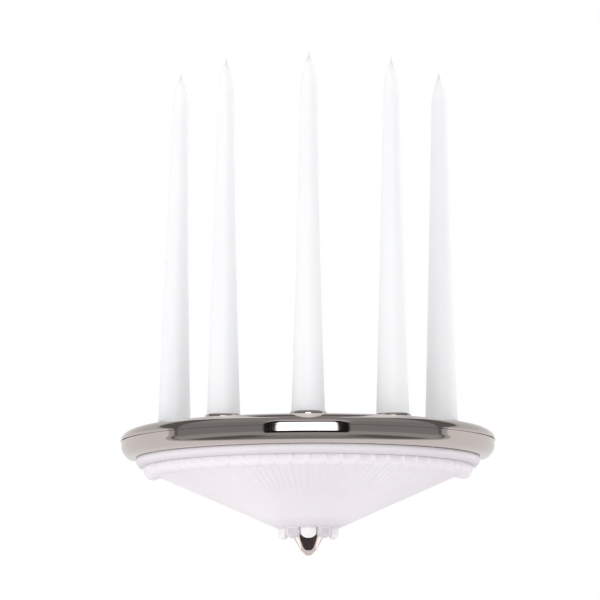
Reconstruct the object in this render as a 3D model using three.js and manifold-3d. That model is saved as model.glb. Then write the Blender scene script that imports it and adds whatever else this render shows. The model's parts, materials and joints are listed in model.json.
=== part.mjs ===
// Half-round wall sconce for five taper candles.
//
// A bright nickel rim of two spun shells carries five candle cups on a half circle. A frosted
// glass bowl, half of a shallow cone, hangs under the rim on one long bolt that ends in a finial.
// Millimetres, +Z up, +X to the viewer's right. The wall is the plane y = 0 and the body stands
// out towards -Y. z = 0 is the parting line between the two shells of the rim.
import * as THREE from 'three';
import { mergeVertices } from 'three/addons/utils/BufferGeometryUtils.js';
import Module from 'manifold-3d';

const wasm = await Module();
wasm.setup();

// ---------------------------------------------------------------- driving dimensions
const fit = 0.3;                  // gap between two pieces that touch
const wallGap = 0.5;              // open back edges stop this far from the wall
const wallStandoff = 18;          // wall to the axis of the round front
const rimRadius = 146;            // parting line of the rim, the widest circle
const sheet = 1.1;                // spun shells of the rim

const coverHeight = 9.4;          // parting line to the flat top of the cover
const coverRound = 15;            // how far in the rounded edge of the cover reaches
const bandDepth = 12.8;           // parting line to the underside of the band
const bandRound = 9.3;            // how far in the rounded edge of the band reaches
const bandStep = 0.7;             // the band is this much smaller than the cover
const partingGap = 0.35;          // half the open groove between cover and band

const rimOverhang = 12;           // rim beyond the lip of the bowl
const bowlDepth = 54.2;           // top of the lip to the flat tip
const bowlWall = 6;               // glass thickness on the cone
const lipHeight = 6.6;            // rounded lip at the top of the bowl
const lipRim = 3;                 // lip wall outside the gasket
const gadroonCount = 32;          // drop-shaped gadroons on the half circle
const gadroonDrop = 8.3;          // height of the gadroon row under the lip
const gadroonInset = 9.5;         // lip edge to the middle of a gadroon
const gadroonDepth = 4.8;         // radial half size of a gadroon
const gadroonTuck = 1.4;          // widest level of a gadroon, under the lip
const tipRadius = 22;             // flat tip of the bowl
const beadCount = 10;             // beads on a full circle round the tip
const beadRadius = 5.85;          // half width of a bead, round the circle
const beadDepth = 3.6;            // half thickness of a bead, outward
const beadHeight = 9.2;
const beadClearance = 4;          // finial to the beads
const beadSink = 0.8;             // beads start this far inside the glass of the tip
const gasketThickness = 1.2;
const gasketWidth = 4;

const candlesAngle = 36;          // degrees between neighbouring candles
const candleInset = 38;           // rim edge to the candle circle
const candleRadius = 12.45;       // foot of the taper
const candleLength = 292;
const candleSlack = 0.3;          // candle to the wall of its cup
const taperShrink = 0.715;        // how fast the taper narrows at the collar
const taperHollow = 0.17;         // how much of that it loses again towards the top
const tipLength = 19;             // pointed top of the taper
const tipStart = 0.45;            // its first radius, as a share of the foot
const tipRoundness = 0.72;        // 1 would be a plain cone
const wickRadius = 0.75;
const wickProud = 3.8;            // wick above the wax
const wickDepth = 9;              // wick inside the wax
const cupWall = 0.9;
const cupDepth = 18;              // under the top of the flange
const cupFloor = 1.2;
const cupFlange = 3.4;            // flange beyond the wall of the cup
const cupFlangeThickness = 1.3;
const collarHeight = 3.2;         // polished collar above the cover
const collarWall = 1.5;
const spigotWall = 0.6;           // collar sleeve inside the hole of the cover
const lockRingThickness = 2.6;
const lockRingWidth = 3.6;

const carrierThickness = 2;
const carrierMargin = 18;         // rim edge to the edge of the carrier plate
const wallPlateThickness = 3;
const wallPlateMargin = 2;        // wall plate to the inside of the bowl
const wallPlateFoot = 3.9;        // wall plate above the floor of the bowl
const keyholeOffset = 80;         // either side of the middle
const keyholeHead = 6;            // radius for the screw head
const keyholeSlot = 3.1;          // half width for the screw shank
const keyholeRise = 11;
const keyholeDrop = 19;           // plate top to the middle of the head hole
const bracketOffset = 45;
const bracketWidth = 24;
const bracketThickness = 2.5;
const bracketReach = 26;
const bracketDrop = 26;
const screwForward = 4;           // carrier screws in front of the middle of the bracket
const screwRadius = 2;
const screwHeadRadius = 3.9;
const screwHeadHeight = 1.3;

const boltRadius = 4;
const boltHeadRadius = 9;
const boltHeadHeight = 1.3;
const boltEngagement = 11;        // thread inside the finial
const nutRadius = 7.5;            // across corners
const nutThickness = 4;
const washerRadius = 10;
const washerThickness = 1.2;
const cushionThickness = 1;
const finialRadius = 12.9;        // at the cushion washer
const finialNeck = 4;             // plain top under the bowl, inside the beads
const finialTaper = 11.2;         // height of the cone
const finialEndRadius = 6.1;
const finialEndHeight = 4.2;

const frontSegments = 24;         // facets on the half circle of the body
const smallSegments = 16;         // facets on a cup, collar or finial
const candleSegments = 16;

// ---------------------------------------------------------------- sizes that follow
const degree = Math.PI / 180;
const candleCircle = rimRadius - candleInset;
const bowlRadius = rimRadius - rimOverhang;
const bandRadius = rimRadius - bandStep;

const flangeTop = coverHeight - sheet - fit;
const carrierTop = flangeTop - cupFlangeThickness - fit;
const carrierBottom = carrierTop - carrierThickness;
const cupInner = candleRadius + candleSlack;
const cupOuter = cupInner + cupWall;
const cupBottom = flangeTop - cupDepth;
const candleFoot = cupBottom + fit;
const candleTop = candleFoot + candleLength;
const collarBottom = coverHeight + fit;
const collarTop = collarBottom + collarHeight;
const collarInner = cupInner + spigotWall / 4;

const lipTop = -bandDepth - fit;
const lipBottom = lipTop - lipHeight;
const gadroonBottom = lipBottom - gadroonDrop;
const tipLevel = lipTop - bowlDepth;
const gasketTop = lipTop;
const gasketBottom = gasketTop - gasketThickness;
const ledge = gasketBottom - fit;
const gasketOuter = bowlRadius - lipRim - fit;
const bandLipRadius = gasketOuter - gasketWidth;
const coneTopRadius = bowlRadius - gadroonInset - gadroonDepth;
const coneTopLevel = gadroonBottom + gadroonDrop / 2;
const coneSlope = (coneTopLevel - tipLevel) / (coneTopRadius - tipRadius);
const wallRise = bowlWall * Math.hypot(1, coneSlope);
const innerConeRadius = z => tipRadius + (z - tipLevel - wallRise) / coneSlope;
const tipFloor = tipLevel + wallRise;

const plateTop = carrierBottom - fit;
const plateBottom = tipFloor + wallPlateFoot;
const bracketBack = -wallPlateThickness - fit;
const cushionTop = tipLevel - fit;
const cushionBottom = cushionTop - cushionThickness;
const finialTop = cushionBottom - fit;
const beadCircle = finialRadius + beadClearance + beadDepth;
const boltHole = boltRadius + fit;
const boltEnd = finialTop - boltEngagement;
const screwHole = screwRadius + fit;

// The five candle stations, from the viewer's left to right.
const stations = ['outer_left', 'inner_left', 'middle', 'inner_right', 'outer_right']
  .map((name, index) => {
    const angle = (index - 2) * candlesAngle * degree;
    const x = candleCircle * Math.sin(angle);
    const y = -wallStandoff - candleCircle * Math.cos(angle);
    return { name, x, y };
  });

// ---------------------------------------------------------------- finishes
const finish = (color, roughness, metalness) => () =>
  new THREE.MeshStandardMaterial({ color, roughness, metalness });
const nickel = finish(0xb9b0aa, 0.1, 1);
const satinBrass = finish(0xb79a62, 0.35, 1);
const steel = finish(0x8f9194, 0.45, 1);
const frostedGlass = finish(0xf1eaf1, 0.5, 0);
const wax = finish(0xf2f0f0, 0.45, 0);
const cotton = finish(0xe9e4da, 0.9, 0);
const rubber = finish(0xd9d9d6, 0.8, 0);

// ---------------------------------------------------------------- shape helpers
const point = (x, y) => new THREE.Vector2(x, y);

// Points on an ellipse about (x, y), from one angle to another in degrees.
function arc(x, y, radiusX, radiusY, from, to, steps) {
  const points = [];
  for (let i = 0; i <= steps; i += 1) {
    const angle = (from + (to - from) * i / steps) * degree;
    points.push(point(x + radiusX * Math.cos(angle), y + radiusY * Math.sin(angle)));
  }
  return points;
}

// Outlines hold (radius, height) points, anticlockwise. A turned piece goes round the vertical
// axis through the origin, and its outline closes on itself or runs from axis to axis.
function turned(outline, segments = smallSegments) {
  const closed = outline[0].x === 0 ? outline : [...outline, outline[0].clone()];
  return new THREE.LatheGeometry(closed, segments).rotateX(Math.PI / 2);
}

// A flat outline in X and Z that runs back from y = front to y = front + depth.
function slab(outline, front, depth, holes = []) {
  const shape = new THREE.Shape(outline);
  shape.holes = holes;
  const geometry = new THREE.ExtrudeGeometry(shape, { depth, bevelEnabled: false, steps: 1 });
  return geometry.rotateX(Math.PI / 2).translate(0, front + depth, 0);
}

const drum = (radius, from, to, segments = smallSegments) =>
  new THREE.CylinderGeometry(radius, radius, to - from, segments)
    .rotateX(Math.PI / 2).translate(0, 0, (from + to) / 2);

function toSolid(geometry) {
  const bare = geometry.clone();
  bare.deleteAttribute('normal');
  bare.deleteAttribute('uv');
  const merged = mergeVertices(bare, 1e-4);
  const corners = Array.from(merged.index.array);
  const triangles = [];
  for (let i = 0; i < corners.length; i += 3) {
    const [a, b, c] = corners.slice(i, i + 3);
    if (a !== b && b !== c && c !== a) triangles.push(a, b, c);
  }
  return new wasm.Manifold(new wasm.Mesh({
    numProp: 3,
    vertProperties: new Float32Array(merged.attributes.position.array),
    triVerts: new Uint32Array(triangles),
  }));
}

function toGeometry(solid) {
  const mesh = solid.getMesh();
  const geometry = new THREE.BufferGeometry();
  geometry.setAttribute('position', new THREE.BufferAttribute(mesh.vertProperties, 3));
  geometry.setIndex(new THREE.BufferAttribute(mesh.triVerts, 1));
  geometry.computeVertexNormals();
  return geometry;
}

const joined = solids => solids.reduce((whole, solid) => whole.add(solid));
const cutBy = (solid, tools) => tools.reduce((rest, tool) => rest.subtract(tool), solid);

// A half-round body: the outline is carried from the wall along one side, round the front half
// circle and back along the other side. It closes on itself or runs from axis to axis.
function halfRound(outline) {
  const sideLength = wallStandoff - wallGap;
  const stops = [{ angle: 0, back: sideLength }];
  for (let i = 0; i <= frontSegments; i += 1) {
    stops.push({ angle: Math.PI * i / frontSegments, back: 0 });
  }
  stops.push({ angle: Math.PI, back: sideLength });

  const positions = stops.flatMap(({ angle, back }) => outline.flatMap(p =>
    [p.x * Math.cos(angle), back - wallStandoff - p.x * Math.sin(angle), p.y]));
  const size = outline.length;
  const edges = outline[0].x === 0 ? size - 1 : size;
  const faces = [];
  for (let stop = 0; stop < stops.length - 1; stop += 1) {
    for (let i = 0; i < edges; i += 1) {
      const here = stop * size;
      const next = here + size;
      const j = (i + 1) % size;
      faces.push([here + i, here + j, next + j], [here + i, next + j, next + i]);
    }
  }
  const last = (stops.length - 1) * size;
  for (const [a, b, c] of THREE.ShapeUtils.triangulateShape(outline, [])) {
    faces.push([a, c, b], [last + a, last + b, last + c]);
  }
  const geometry = new THREE.BufferGeometry();
  geometry.setAttribute('position', new THREE.Float32BufferAttribute(positions, 3));
  geometry.setIndex(faces.flat());
  return toSolid(geometry);
}

const atStation = (geometry, station) => toSolid(geometry.translate(station.x, station.y, 0));

const group = new THREE.Group();
group.name = 'candle_wall_sconce';

function addPiece(name, shape, material, x = 0, y = 0, z = 0) {
  const geometry = shape.isBufferGeometry ? shape : toGeometry(shape);
  const mesh = new THREE.Mesh(geometry, material());
  mesh.name = name;
  mesh.position.set(x, y, z);
  group.add(mesh);
}

// ---------------------------------------------------------------- rim: cover and band
function topCover() {
  const middle = rimRadius - coverRound;
  const outline = [
    point(0, coverHeight - sheet),
    ...arc(middle, partingGap, coverRound - sheet, coverHeight - sheet - partingGap, 90, 0, 5),
    ...arc(middle, partingGap, coverRound, coverHeight - partingGap, 0, 90, 5),
    point(0, coverHeight),
  ];
  const holeRadius = collarInner + spigotWall + fit;
  const holes = stations.map(s => atStation(drum(holeRadius, 0, 2 * coverHeight), s));
  return cutBy(halfRound(outline), holes);
}

function rimBand() {
  const middle = bandRadius - bandRound;
  const level = -bandDepth + bandRound;
  const outline = [
    point(bandLipRadius, -bandDepth),
    ...arc(middle, level, bandRound, bandRound, -90, 0, 5),
    point(bandRadius, -partingGap),
    point(bandRadius - sheet, -partingGap),
    ...arc(middle, level, bandRound - sheet, bandRound - sheet, 0, -90, 5),
    point(bandLipRadius, -bandDepth + sheet),
  ];
  return halfRound(outline);
}

addPiece('top_cover', topCover(), nickel);
addPiece('rim_band', rimBand(), nickel);

// ---------------------------------------------------------------- bowl and its gasket
function bowl() {
  const gadroonLevel = lipBottom - gadroonTuck;
  const gadroonHalfHeight = gadroonLevel - gadroonBottom;
  const gadroonRing = bowlRadius - gadroonInset;
  const neckRadius = gadroonRing + gadroonDepth - 1.4;
  const lipRound = lipHeight - 1.6;
  const outline = [
    point(0, tipLevel),
    point(tipRadius, tipLevel),
    point(coneTopRadius, coneTopLevel),
    point(gadroonRing + 1, gadroonBottom + 2.4),
    point(neckRadius, gadroonLevel - 1),
    point(neckRadius, lipBottom),
    ...arc(bowlRadius - lipRound, lipTop - lipHeight + lipRound, lipRound, lipRound, -80, 0, 3),
    point(bowlRadius - fit, lipTop),
    point(bowlRadius - lipRim, lipTop),
    point(bowlRadius - lipRim, ledge),
    point(innerConeRadius(ledge), ledge),
    point(tipRadius, tipFloor),
    point(0, tipFloor),
  ];
  const pitch = Math.PI * gadroonRing / gadroonCount;
  const drop = (angle, x, y) => toSolid(
    new THREE.SphereGeometry(1, 6, 4).rotateX(Math.PI / 2)
      .scale(pitch / 2, gadroonDepth, gadroonHalfHeight)
      .rotateZ(angle)
      .translate(x, y - wallStandoff, gadroonLevel));
  const gadroons = [];
  for (let i = 0; i < gadroonCount; i += 1) {
    const angle = ((i + 0.5) / gadroonCount - 0.5) * Math.PI;
    gadroons.push(drop(angle, gadroonRing * Math.sin(angle), -gadroonRing * Math.cos(angle)));
  }
  const perSide = Math.floor((wallStandoff - wallGap) / pitch);
  for (let i = 0; i < perSide; i += 1) {
    gadroons.push(drop(Math.PI / 2, gadroonRing, (i + 0.5) * pitch));
    gadroons.push(drop(-Math.PI / 2, -gadroonRing, (i + 0.5) * pitch));
  }
  const beads = [];
  for (let i = -3; i <= 3; i += 1) {
    const angle = i * 2 * Math.PI / beadCount;
    const bead = new THREE.SphereGeometry(1, 8, 6).rotateX(Math.PI / 2)
      .scale(beadRadius, beadDepth, beadHeight / 2)
      .rotateZ(angle)
      .translate(beadCircle * Math.sin(angle), -beadCircle * Math.cos(angle),
        tipLevel + beadSink - beadHeight / 2);
    beads.push(toSolid(bead.translate(0, -wallStandoff, 0)));
  }
  const underLip = toSolid(drum(bowlRadius, gadroonBottom - 1, lipBottom + 0.5)
    .translate(0, -wallStandoff, 0));
  const boltPassage = toSolid(drum(boltHole + fit, tipLevel - 1, tipFloor + 1)
    .translate(0, -wallStandoff, 0));
  const gadroonRow = joined(gadroons).intersect(underLip);
  return cutBy(joined([halfRound(outline), gadroonRow, ...beads]), [boltPassage]);
}

addPiece('bowl', bowl(), frostedGlass);
addPiece('bowl_gasket', halfRound([
  point(gasketOuter - gasketWidth, gasketBottom), point(gasketOuter, gasketBottom),
  point(gasketOuter, gasketTop), point(gasketOuter - gasketWidth, gasketTop),
]), rubber);

// ---------------------------------------------------------------- carrier plate
const screwY = bracketBack - bracketReach / 2 - screwForward;

function carrierPlate() {
  const edge = rimRadius - carrierMargin;
  const plate = halfRound([point(0, carrierBottom), point(edge, carrierBottom),
    point(edge, carrierTop), point(0, carrierTop)]);
  const cupHoles = stations.map(s =>
    atStation(drum(cupOuter + fit, carrierBottom - 1, carrierTop + 1), s));
  const screwHoles = [-1, 1].map(side => toSolid(
    drum(screwHole, carrierBottom - 1, carrierTop + 1, 12).translate(side * bracketOffset, screwY, 0)));
  const rodHole = toSolid(drum(boltHole, carrierBottom - 1, carrierTop + 1)
    .translate(0, -wallStandoff, 0));
  return cutBy(plate, [...cupHoles, ...screwHoles, rodHole]);
}

addPiece('carrier_plate', carrierPlate(), steel);

// ---------------------------------------------------------------- wall plate and brackets
const wallScrewZ = plateTop - bracketDrop * 0.7;

function wallPlate() {
  const topHalf = innerConeRadius(ledge) - wallPlateMargin;
  const bottomHalf = innerConeRadius(plateBottom) - wallPlateMargin;
  const outline = [
    point(-bottomHalf, plateBottom), point(bottomHalf, plateBottom),
    point(topHalf, ledge), point(topHalf, plateTop),
    point(-topHalf, plateTop), point(-topHalf, ledge),
  ];
  const holes = [];
  for (const side of [-1, 1]) {
    const x = side * keyholeOffset;
    const headZ = plateTop - keyholeDrop;
    const slotStart = Math.asin(keyholeSlot / keyholeHead) / degree;
    holes.push(new THREE.Path([
      ...arc(x, headZ, keyholeHead, keyholeHead, 90 + slotStart, 450 - slotStart, 14),
      ...arc(x, headZ + keyholeRise, keyholeSlot, keyholeSlot, 0, 180, 6),
    ]));
    holes.push(new THREE.Path(
      arc(side * bracketOffset, wallScrewZ, screwHole, screwHole, 0, 330, 11)));
  }
  return slab(outline, -wallPlateThickness, wallPlateThickness, holes);
}

function bracket() {
  const top = carrierBottom - fit;
  const outline = new THREE.Shape([
    point(bracketBack - bracketReach, top - bracketThickness),
    point(bracketBack - bracketThickness, top - bracketThickness),
    point(bracketBack - bracketThickness, top - bracketDrop),
    point(bracketBack, top - bracketDrop),
    point(bracketBack, top),
    point(bracketBack - bracketReach, top),
  ]);
  const angleIron = new THREE.ExtrudeGeometry(outline, { depth: bracketWidth, bevelEnabled: false })
    .applyMatrix4(new THREE.Matrix4().makeBasis(
      new THREE.Vector3(0, 1, 0), new THREE.Vector3(0, 0, 1), new THREE.Vector3(1, 0, 0)))
    .translate(-bracketWidth / 2, 0, 0);
  const upright = drum(screwHole, top - 2 * bracketThickness, top + 1, 12).translate(0, screwY, 0);
  const level = drum(screwHole, -2 * bracketThickness, 2 * bracketThickness, 12)
    .rotateX(Math.PI / 2).translate(0, bracketBack, wallScrewZ);
  return cutBy(toSolid(angleIron), [toSolid(upright), toSolid(level)]);
}

// A low-headed screw with its head's underside at z = 0 and its shank pointing down.
const screw = length => turned([
  point(0, -length), point(screwRadius, -length), point(screwRadius, 0),
  point(screwHeadRadius, 0), point(screwHeadRadius * 0.92, screwHeadHeight),
  point(0, screwHeadHeight),
], 12);

addPiece('wall_plate', wallPlate(), steel);
for (const [side, name] of [[-1, 'left'], [1, 'right']]) {
  const x = side * bracketOffset;
  addPiece(`bracket_${name}`, bracket(), steel, x);
  addPiece(`carrier_screw_${name}`, screw(carrierThickness + bracketThickness + 2 * fit),
    steel, x, screwY, carrierTop + fit);
  addPiece(`plate_screw_${name}`,
    screw(bracketThickness + wallPlateThickness + fit - wallGap).rotateX(Math.PI / 2),
    steel, x, bracketBack - bracketThickness - fit, wallScrewZ);
}

// ---------------------------------------------------------------- centre bolt and finial
const onAxis = [0, -wallStandoff, 0];

addPiece('centre_bolt', turned([
  point(0, boltEnd), point(boltRadius - 0.6, boltEnd), point(boltRadius, boltEnd + 0.8),
  point(boltRadius, carrierTop + fit), point(boltHeadRadius, carrierTop + fit),
  point(boltHeadRadius - 0.5, carrierTop + fit + boltHeadHeight),
  point(0, carrierTop + fit + boltHeadHeight),
]), steel, ...onAxis);

// A flat ring between two radii and two heights.
const ring = (inner, outer, bottom, top, segments = smallSegments) => turned([
  point(inner, bottom), point(outer, bottom), point(outer, top), point(inner, top),
], segments);

const washerTop = carrierBottom - fit;
const nutTop = washerTop - washerThickness - fit;
addPiece('bolt_washer', ring(boltHole, washerRadius, washerTop - washerThickness, washerTop),
  steel, ...onAxis);

function hexNut() {
  const shape = new THREE.Shape(arc(0, 0, nutRadius, nutRadius, 0, 300, 5));
  shape.holes = [new THREE.Path(arc(0, 0, boltHole, boltHole, 0, 330, 11))];
  return new THREE.ExtrudeGeometry(shape, { depth: nutThickness, bevelEnabled: false });
}

addPiece('bolt_nut', hexNut(), steel, 0, -wallStandoff, nutTop - nutThickness);
addPiece('cushion_washer', ring(boltHole, finialRadius - 0.6, cushionBottom, cushionTop),
  rubber, ...onAxis);

function finial() {
  const taperTop = finialTop - finialNeck;
  const taperEnd = taperTop - finialTaper;
  return turned([
    point(0, taperEnd - finialEndHeight),
    ...arc(0, taperEnd, finialEndRadius, finialEndHeight, -72, 0, 4),
    point(finialRadius - 0.5, taperTop),
    point(finialRadius, finialTop),
    point(boltHole, finialTop),
    point(boltHole, boltEnd - fit),
    point(0, boltEnd - fit),
  ], 24);
}

addPiece('finial', finial(), nickel, ...onAxis);

// ---------------------------------------------------------------- the five candle stations
const cup = () => turned([
  point(0, cupBottom - cupFloor), point(cupOuter - 1, cupBottom - cupFloor),
  point(cupOuter, cupBottom - cupFloor + 1),
  point(cupOuter, flangeTop - cupFlangeThickness),
  point(cupOuter + cupFlange, flangeTop - cupFlangeThickness),
  point(cupOuter + cupFlange, flangeTop), point(cupInner, flangeTop),
  point(cupInner, cupBottom), point(0, cupBottom),
]);

const collar = () => turned([
  point(collarInner, flangeTop + fit),
  point(collarInner + spigotWall, flangeTop + fit),
  point(collarInner + spigotWall, collarBottom),
  ...arc(collarInner, collarBottom, collarWall, collarHeight, 0, 75, 3),
  point(collarInner, collarTop),
]);

// The taper is slightly hollow-sided: it narrows fastest near the foot.
function candle() {
  const shoulder = candleLength - tipLength;
  const taperStart = collarTop - candleFoot;
  const outline = [point(0, 0), point(candleRadius - 0.8, 0), point(candleRadius, 0.8)];
  const taperSteps = 4;
  for (let i = 0; i <= taperSteps; i += 1) {
    const level = taperStart + (shoulder - taperStart) * i / taperSteps;
    const share = (level - taperStart) / (candleLength - taperStart);
    const radius = candleRadius * (1 - taperShrink * share + taperHollow * share * share);
    outline.push(point(radius, level));
  }
  const shoulderRadius = candleRadius * tipStart;
  const tipSteps = 3;
  for (let i = 0; i < tipSteps; i += 1) {
    const left = 1 - i / tipSteps;
    outline.push(point(shoulderRadius * left ** tipRoundness, candleLength - tipLength * left));
  }
  const bore = wickRadius + fit;
  outline.push(point(bore + 0.5, candleLength), point(bore, candleLength));
  outline.push(point(bore, candleLength - wickDepth), point(0, candleLength - wickDepth));
  return turned(outline, candleSegments);
}

const wick = () => turned([
  point(0, fit - wickDepth), point(wickRadius, fit - wickDepth),
  point(wickRadius, wickProud - 1.2), point(wickRadius * 0.5, wickProud), point(0, wickProud),
], 8);

const lockRingTop = carrierBottom - fit;
const lockRing = () => ring(cupOuter + fit, cupOuter + fit + lockRingWidth,
  lockRingTop - lockRingThickness, lockRingTop);

for (const { name, x, y } of stations) {
  addPiece(`cup_${name}`, cup(), satinBrass, x, y);
  addPiece(`lock_ring_${name}`, lockRing(), steel, x, y);
  addPiece(`collar_${name}`, collar(), nickel, x, y);
  addPiece(`candle_${name}`, candle(), wax, x, y, candleFoot);
  addPiece(`wick_${name}`, wick(), cotton, x, y, candleTop);
}

export default group;
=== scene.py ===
"""The half-round wall sconce for five tapers: fine meshes, materials, studio and camera."""
import json
import math

import bmesh
import bpy
import numpy as np
from mathutils import Matrix, Vector


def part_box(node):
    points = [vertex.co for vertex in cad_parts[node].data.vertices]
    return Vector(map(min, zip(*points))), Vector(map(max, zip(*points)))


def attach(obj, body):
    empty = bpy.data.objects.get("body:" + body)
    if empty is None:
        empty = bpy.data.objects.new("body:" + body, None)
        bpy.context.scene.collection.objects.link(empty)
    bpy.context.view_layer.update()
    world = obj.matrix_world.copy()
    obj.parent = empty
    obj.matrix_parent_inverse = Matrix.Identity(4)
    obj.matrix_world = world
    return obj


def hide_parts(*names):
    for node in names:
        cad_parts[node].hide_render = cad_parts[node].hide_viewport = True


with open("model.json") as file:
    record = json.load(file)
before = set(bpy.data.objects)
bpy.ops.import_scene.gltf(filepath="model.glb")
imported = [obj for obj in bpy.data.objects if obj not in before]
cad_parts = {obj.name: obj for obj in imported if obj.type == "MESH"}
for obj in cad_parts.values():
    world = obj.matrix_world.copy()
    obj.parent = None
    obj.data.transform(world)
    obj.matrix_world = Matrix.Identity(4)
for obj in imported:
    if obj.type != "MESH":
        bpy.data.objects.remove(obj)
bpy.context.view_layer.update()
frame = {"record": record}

scene = bpy.context.scene
MM = 0.001

# ---------------------------------------------------------------- places from the frame
body_of = {node: body for body, nodes in frame["record"]["behaviour"]["bodies"].items()
           for node in nodes}
low = {node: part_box(node)[0] for node in body_of}
high = {node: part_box(node)[1] for node in body_of}


def radius_of(node):
    return (high[node].x - low[node].x) / 2


def middle_of(node):
    return (low[node] + high[node]) / 2


FIT = 0.3 * MM                                    # clearance between pieces that seat
AXIS_Y = middle_of("finial").y                    # axis of the round front
BACK_Y = high["top_cover"].y                      # open back edges
RIM = radius_of("top_cover")
BOWL = radius_of("bowl")
TIP_LEVEL = high["cushion_washer"].z + FIT        # flat underside of the bowl
LIP_TOP = high["bowl"].z
LIP_BOTTOM = LIP_TOP - 6.6 * MM
STATIONS = ("outer_left", "inner_left", "middle", "inner_right", "outer_right")
SIDES = ("left", "right")

# ---------------------------------------------------------------- camera
ASIDE, AWAY, HEIGHT = -7.1 * MM, 2179 * MM, -197.5 * MM      # of the camera, from the axis
TILT, ROLL = math.radians(98.087), math.radians(0.27)
camera_data = bpy.data.cameras.new("camera")
camera_data.sensor_width = 36
camera_data.lens = 168
camera = bpy.data.objects.new("camera", camera_data)
camera.location = (ASIDE, AXIS_Y - AWAY, HEIGHT)
camera.rotation_euler = (TILT, ROLL, 0)
scene.collection.objects.link(camera)
scene.camera = camera
scene.view_settings.view_transform = "Standard"


# ---------------------------------------------------------------- material helpers
class Paint:
    """A Principled material and short ways to add the nodes that feed it."""

    def __init__(self, name, **values):
        self.material = bpy.data.materials.new(name)
        self.material.use_nodes = True
        self.nodes = self.material.node_tree.nodes
        self.links = self.material.node_tree.links
        self.shader = self.nodes["Principled BSDF"]
        self.place = self.nodes.new("ShaderNodeTexCoord").outputs["Object"]
        for socket, value in values.items():
            self.shader.inputs[socket.replace("_", " ")].default_value = value

    def axes(self):
        node = self.nodes.new("ShaderNodeSeparateXYZ")
        self.links.new(self.place, node.inputs[0])
        return node.outputs

    def stretched(self, x, y, z):
        mapping = self.nodes.new("ShaderNodeMapping")
        mapping.inputs["Scale"].default_value = (x, y, z)
        self.links.new(self.place, mapping.inputs["Vector"])
        return mapping.outputs["Vector"]

    def noise(self, scale, detail=3.0, roughness=0.5, place=None):
        node = self.nodes.new("ShaderNodeTexNoise")
        node.inputs["Scale"].default_value = scale
        node.inputs["Detail"].default_value = detail
        node.inputs["Roughness"].default_value = roughness
        self.links.new(place or self.place, node.inputs["Vector"])
        return node.outputs["Fac"]

    def cells(self, scale):
        node = self.nodes.new("ShaderNodeTexVoronoi")
        node.inputs["Scale"].default_value = scale
        self.links.new(self.place, node.inputs["Vector"])
        return node

    def rings(self, scale, distortion):
        node = self.nodes.new("ShaderNodeTexWave")
        node.bands_direction = "Z"
        node.inputs["Scale"].default_value = scale
        node.inputs["Distortion"].default_value = distortion
        node.inputs["Detail"].default_value = 2.0
        self.links.new(self.place, node.inputs["Vector"])
        return node.outputs["Fac"]

    def span(self, value, low_to, high_to, low_from=0.35, high_from=0.65):
        node = self.nodes.new("ShaderNodeMapRange")
        for name, number in (("From Min", low_from), ("From Max", high_from),
                             ("To Min", low_to), ("To Max", high_to)):
            node.inputs[name].default_value = number
        self.links.new(value, node.inputs["Value"])
        return node.outputs["Result"]

    def tones(self, value, *stops):
        node = self.nodes.new("ShaderNodeValToRGB")
        ramp = node.color_ramp
        while len(ramp.elements) < len(stops):
            ramp.elements.new(0.5)
        for element, (at, colour) in zip(ramp.elements, stops):
            element.position = at
            element.color = (*colour, 1)
        self.links.new(value, node.inputs["Fac"])
        return node.outputs["Color"]

    def bump(self, *layers):
        normal = None
        for height, strength, depth in layers:
            node = self.nodes.new("ShaderNodeBump")
            node.inputs["Strength"].default_value = strength
            node.inputs["Distance"].default_value = depth
            self.links.new(height, node.inputs["Height"])
            if normal:
                self.links.new(normal, node.inputs["Normal"])
            normal = node.outputs["Normal"]
        self.links.new(normal, self.shader.inputs["Normal"])

    def feed(self, socket, output):
        self.links.new(output, self.shader.inputs[socket])


def bright_nickel():
    paint = Paint("bright_nickel", Metallic=1.0)
    cloud = paint.noise(14, 4)
    paint.feed("Base Color", paint.tones(cloud, (0.3, (0.645, 0.58, 0.55)),
                                         (0.7, (0.685, 0.615, 0.585))))
    wiped = paint.noise(60, 5, 0.7, paint.stretched(1, 1, 9))
    paint.feed("Roughness", paint.span(wiped, 0.035, 0.085))
    paint.bump((paint.noise(900, 2), 0.05, 0.02 * MM),
               (paint.noise(28, 2), 0.12, 0.05 * MM))
    return paint.material


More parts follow.
